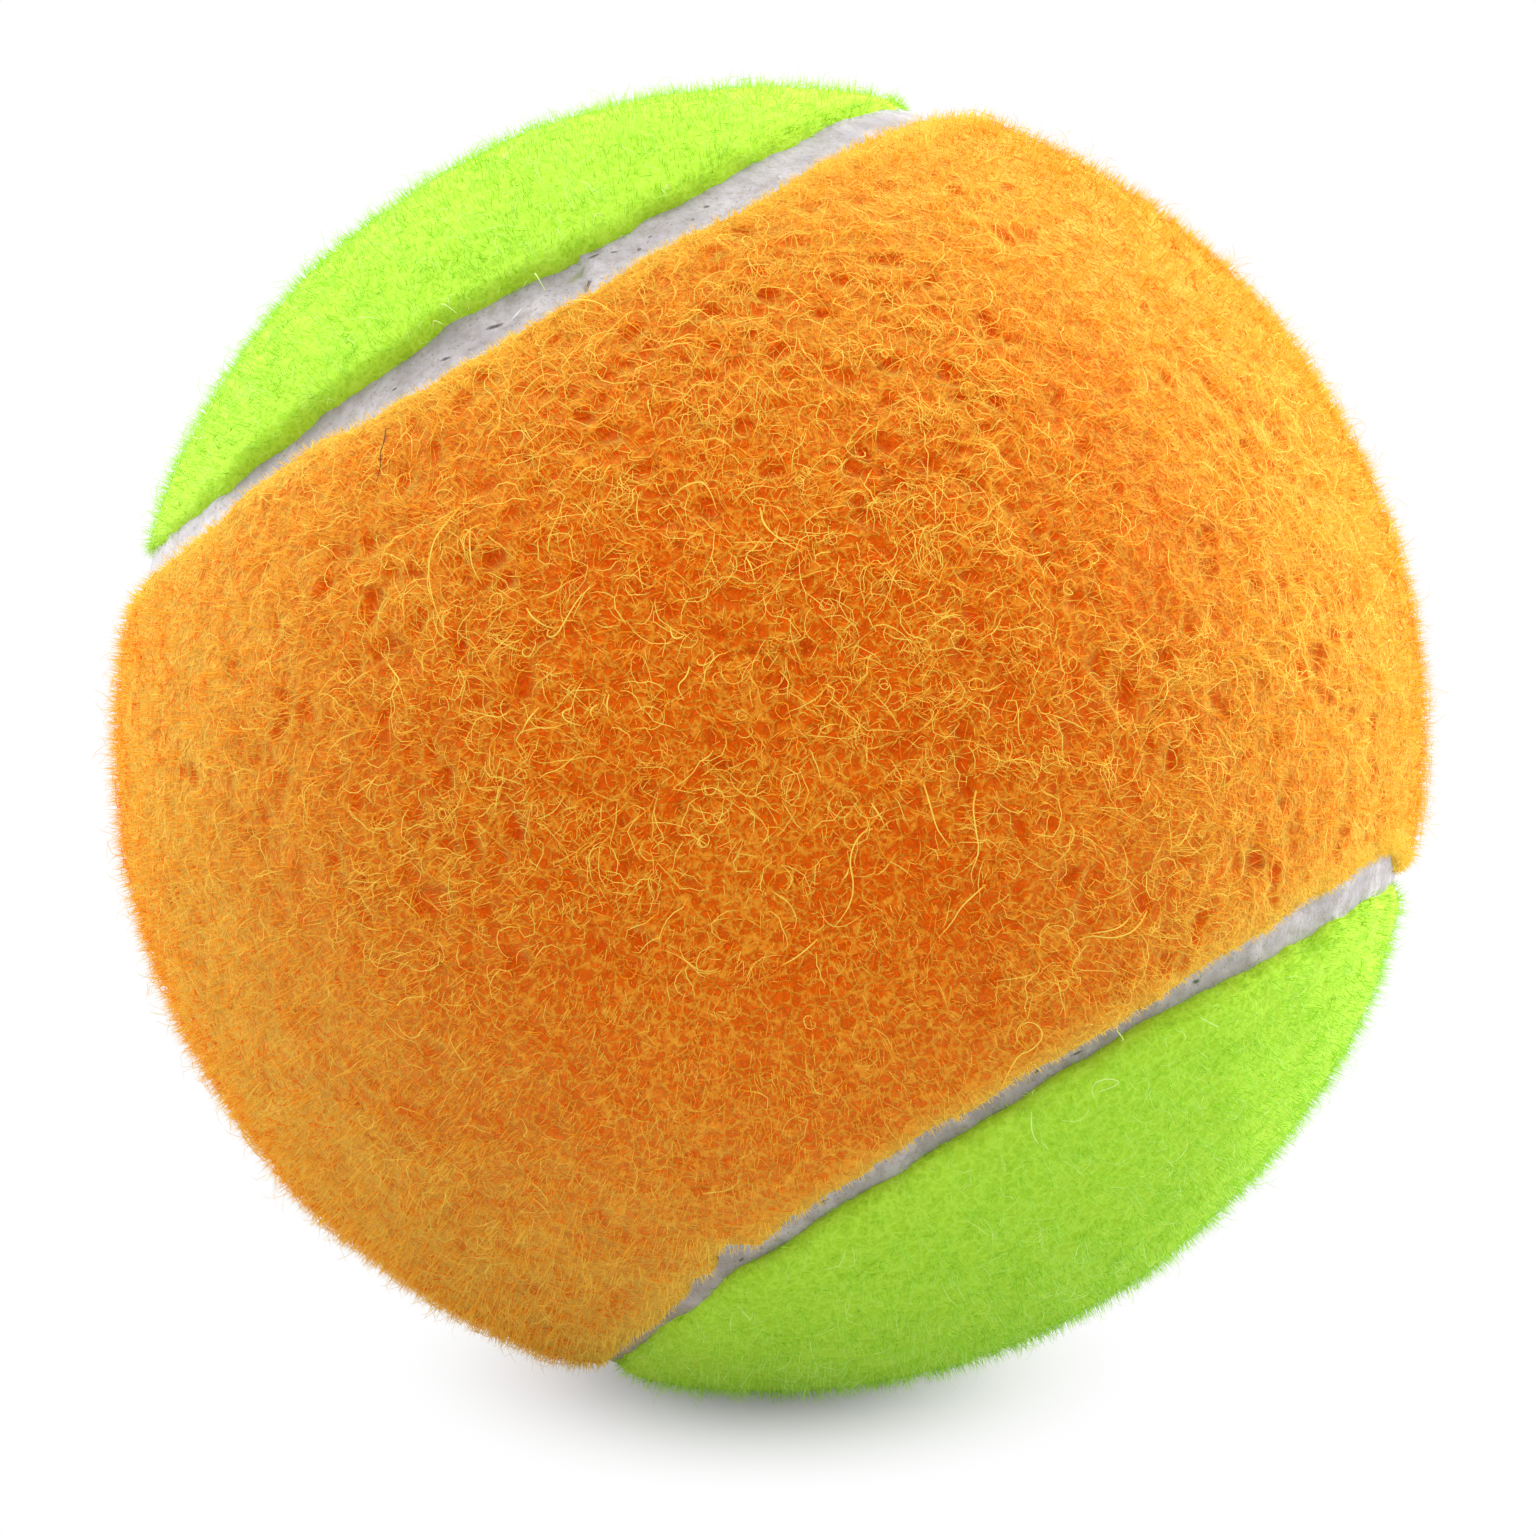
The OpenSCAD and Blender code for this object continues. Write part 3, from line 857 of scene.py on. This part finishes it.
# Stray fibres that lie loose on the nap. Each is given by the photograph's pixels that it
# runs through, and is laid on the ball where the camera sees them.
strays = {
    "orangeStray": {"panel": "orange", "width": 0.042 * mm, "tone": 0.8, "lines": [
        [(462, 508), (447, 530), (439, 542), (434, 570), (437, 599), (445, 627), (453, 639)],
        [(472, 532), (476, 558), (477, 570), (484, 586)],
        [(760, 509), (763, 527), (777, 542), (803, 554)],
        [(746, 558), (753, 573), (755, 585)],
        [(676, 496), (683, 490), (703, 485), (712, 496), (717, 512)],
        [(550, 630), (548, 638), (559, 638), (570, 621), (583, 598), (598, 583)],
        [(528, 609), (537, 620), (550, 629), (558, 628)],
        [(671, 629), (675, 642), (687, 637), (680, 634)],
        [(690, 667), (688, 678), (678, 687), (685, 701)],
        [(573, 708), (564, 713), (570, 722), (584, 726)],
        [(610, 695), (610, 717)],
        [(598, 705), (593, 711), (596, 721)],
        [(540, 708), (532, 721), (523, 735)],
        [(390, 664), (402, 676), (407, 682), (397, 695), (401, 708), (393, 719)],
        [(566, 306), (584, 306), (602, 310), (617, 319), (622, 322)],
        [(872, 828), (860, 832), (851, 846), (848, 862), (852, 878), (851, 896), (844, 912),
         (832, 928)],
        [(848, 868), (841, 879)],
        [(817, 938), (800, 950), (780, 965)],
        [(923, 784), (927, 802), (933, 826), (942, 838), (950, 848)],
        [(975, 790), (970, 806), (972, 828), (976, 850), (968, 872), (972, 884)],
        [(871, 803), (878, 815), (884, 825)],
        [(984, 884), (958, 902), (949, 920), (936, 938)],
        [(1145, 910), (1133, 925), (1120, 932), (1102, 935), (1087, 932), (1074, 939),
         (1071, 947)],
        [(1128, 916), (1115, 924), (1097, 929), (1084, 933)],
        [(1000, 1087), (1006, 1067), (1015, 1049), (1026, 1046), (1038, 1034), (1037, 1023),
         (1026, 1016), (1014, 1023), (1013, 1036), (1022, 1045)],
    ]},
    "greenStray": {"panel": "green", "width": 0.034 * mm, "tone": 0.85, "lines": [
        [(1096, 1090), (1112, 1081), (1115, 1076), (1102, 1072), (1089, 1077), (1087, 1087),
         (1094, 1097)],
        [(1198, 1016), (1207, 1020), (1216, 1025)],
        [(1115, 1029), (1117, 1034), (1119, 1039)],
        [(1030, 1110), (1026, 1125), (1037, 1142)],
        [(536, 276), (541, 284), (547, 294)],
        [(442, 308), (450, 312), (459, 316)],
        [(435, 329), (440, 328), (445, 327)],
        [(605, 219), (598, 224), (594, 228)],
        [(672, 191), (668, 195), (664, 199)],
    ]},
    "darkHair": {"panel": "orange", "width": 0.035 * mm, "tone": 0, "lines": [
        [(388, 430), (390, 440), (390, 448), (387, 458), (387, 468), (383, 478), (377, 486)],
    ]},
}


# Where the camera sees a pixel of the photograph on the ball
def seenPlace(spot):
    middle = camera["imagePx"] / 2
    ray = (viewTurn @ Vector((spot[0] - middle, middle - spot[1], -focalPx))).normalized()
    nearing = -view.location.dot(ray)
    return view.location + ray * (nearing - math.sqrt(
        nearing ** 2 - view.location.length_squared + ballRadius ** 2))


# A stray's path: its corners rounded, evenly spaced points, and its ends tucked in
def strayPath(line, count=25):
    points = np.array([seenPlace(spot) for spot in line])
    for _ in range(2):
        first, second = points[:-1], points[1:]
        cut = np.stack([0.75 * first + 0.25 * second, 0.25 * first + 0.75 * second], 1)
        points = np.vstack([points[:1], cut.reshape(-1, 3), points[-1:]])
    along = np.append(0, np.cumsum(np.linalg.norm(np.diff(points, axis=0), axis=1)))
    places = np.linspace(0, along[-1], count)
    points = unit(np.stack([np.interp(places, along, points[:, k]) for k in range(3)], 1))
    height = ballRadius + (0.15 + 0.35 * np.sin(np.linspace(0, math.pi, count))) * mm
    return points * height[:, None]


# A hair that isn't the ball's own: brown-black, smooth and glossy
def hairMaterial():
    material, shader = newMaterial("brownBlackHair")
    where = addNode(material, "TexCoord").outputs["Object"]
    streak = addNode(material, "TexNoise", {"Vector": where, "Scale": 1 / (0.5 * mm)})
    linkTo(material, colourRamp(material, streak.outputs["Fac"], (0.35, "#3A1E0C"),
                                (0.65, "#6A3A16")), shader, "Base Color")
    shader.inputs["Roughness"].default_value = 0.6
    shader.inputs["Specular IOR Level"].default_value = 0.2
    return material


def makeStray(name, stray, material):
    path = np.stack([strayPath(line) for line in stray["lines"]])
    count = len(path)
    piece = fibreObject(f"{name}_1", path, unit(path[:, 0]), np.full(count, stray["width"]),
                        np.full(count, stray["tone"]), material)
    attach(piece, "root")
    return piece


for name, stray in strays.items():
    material = hairMaterial() if name == "darkHair" else fibres[stray["panel"]]
    tufts[stray["panel"]].append(makeStray(name, stray, material))
print("strays made")


# Core rubber: moulded natural rubber with black filler, dull and slightly bloomed
def coreRubber():
    material, shader = newMaterial("blackMouldedRubber")
    where = addNode(material, "TexCoord").outputs["Object"]
    bloom = addNode(material, "TexNoise", {"Vector": where, "Scale": 1 / (4 * mm),
                                           "Detail": 5.0}).outputs["Fac"]
    linkTo(material, colourRamp(material, bloom, (0.3, "#222222"), (0.7, "#36342F")), shader,
           "Base Color")
    shader.inputs["Roughness"].default_value = 0.65
    return material


core = coreRubber()
joint = cementMaterial("blackRubberCement", [(0.3, "#1B1B1D"), (0.7, "#2A2A2C")], 0.4 * mm)
coat = cementMaterial("buffRubberCement", [(0.3, "#A39E9C"), (0.7, "#BBB6B2")], 0.4 * mm)
for node, material in (("core_half_top", core), ("core_half_bottom", core),
                       ("core_joint_cement", joint), ("orange_panel_cement", coat),
                       ("green_panel_cement", coat)):
    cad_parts[node].data.materials.clear()
    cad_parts[node].data.materials.append(material)


# Studio: a pale floor that goes white away from the ball, a white surround for the camera,
# a large soft box above and two behind the sides
studio = {
    "surround": 0.6,
    "lamps": {
        "top": ((0.0, 0.03, 0.42), 0.36, 1.2),
        "left": ((-0.38, 0.2, 0.12), 0.3, 1.7),
        "right": ((0.38, 0.18, 0.14), 0.3, 2.95),
        "front": ((-0.04, -0.4, 0.3), 0.3, 0.5),
    },
    "floorReach": 3.0,
}


def makeLamp(name, place, width, power):
    data = bpy.data.lights.new(name, "AREA")
    data.size = width
    data.energy = power
    lamp = bpy.data.objects.new(name, data)
    bpy.context.scene.collection.objects.link(lamp)
    lamp.location = place
    lamp.rotation_euler = (-Vector(place)).to_track_quat("-Z", "Y").to_euler()


def makeSurround():
    world = bpy.data.worlds.new("surround")
    bpy.context.scene.world = world
    world.use_nodes = True
    path = addNode(world, "LightPath")
    seen = addNode(world, "Math", {0: path.outputs["Is Camera Ray"],
                                   1: path.outputs["Is Glossy Ray"]}, operation="MAXIMUM")
    seen = addNode(world, "Math", {0: seen.outputs[0],
                                   1: path.outputs["Is Transmission Ray"]}, operation="MAXIMUM")
    level = addNode(world, "MapRange", {"Value": seen.outputs[0],
                                        "To Min": studio["surround"], "To Max": 1.0})
    background = world.node_tree.nodes["Background"]
    linkTo(world, level.outputs[0], background, "Strength")
    background.inputs["Color"].default_value = (1, 1, 1, 1)


# Matt white paper: it takes the ball's soft shadow and fades to pure white around it
def floorMaterial():
    material, shader = newMaterial("mattWhitePaper")
    shader.inputs["Base Color"].default_value = linear("#C4C4C4")
    shader.inputs["Roughness"].default_value = 0.9
    where = addNode(material, "TexCoord").outputs["Object"]
    away = addNode(material, "VectorMath", {0: where}, operation="LENGTH").outputs["Value"]
    fade = addNode(material, "MapRange", {"Value": away, "From Min": 0.001, "From Max": 0.02},
                   interpolation_type="SMOOTHSTEP").outputs[0]
    path = addNode(material, "LightPath")
    seen = addNode(material, "Math", {0: path.outputs["Is Camera Ray"],
                                      1: path.outputs["Is Glossy Ray"]}, operation="MAXIMUM")
    seen = addNode(material, "Math", {0: seen.outputs[0],
                                      1: path.outputs["Is Transmission Ray"]},
                   operation="MAXIMUM")
    share = addNode(material, "Math", {0: fade, 1: seen.outputs[0]}, operation="MULTIPLY")
    glow = addNode(material, "Emission", {"Color": (1, 1, 1, 1), "Strength": 1.0})
    mixed = addNode(material, "MixShader", {0: share.outputs[0], 1: shader.outputs[0],
                                            2: glow.outputs[0]})
    linkTo(material, mixed.outputs[0], material.node_tree.nodes["Material Output"], "Surface")
    return material


def makeStudio():
    for name, (place, width, power) in studio["lamps"].items():
        makeLamp(name, place, width, power)
    makeSurround()
    bpy.ops.object.select_all(action="DESELECT")
    bpy.ops.mesh.primitive_plane_add(size=2 * studio["floorReach"], location=(0, 0, 0))
    floor = bpy.context.active_object
    floor.name = "floor"
    floor.location.z = cadLow[2] - 0.3 * mm
    floor.data.materials.append(floorMaterial())


makeStudio()
bpy.context.scene.view_settings.view_transform = "Standard"
print("studio made")
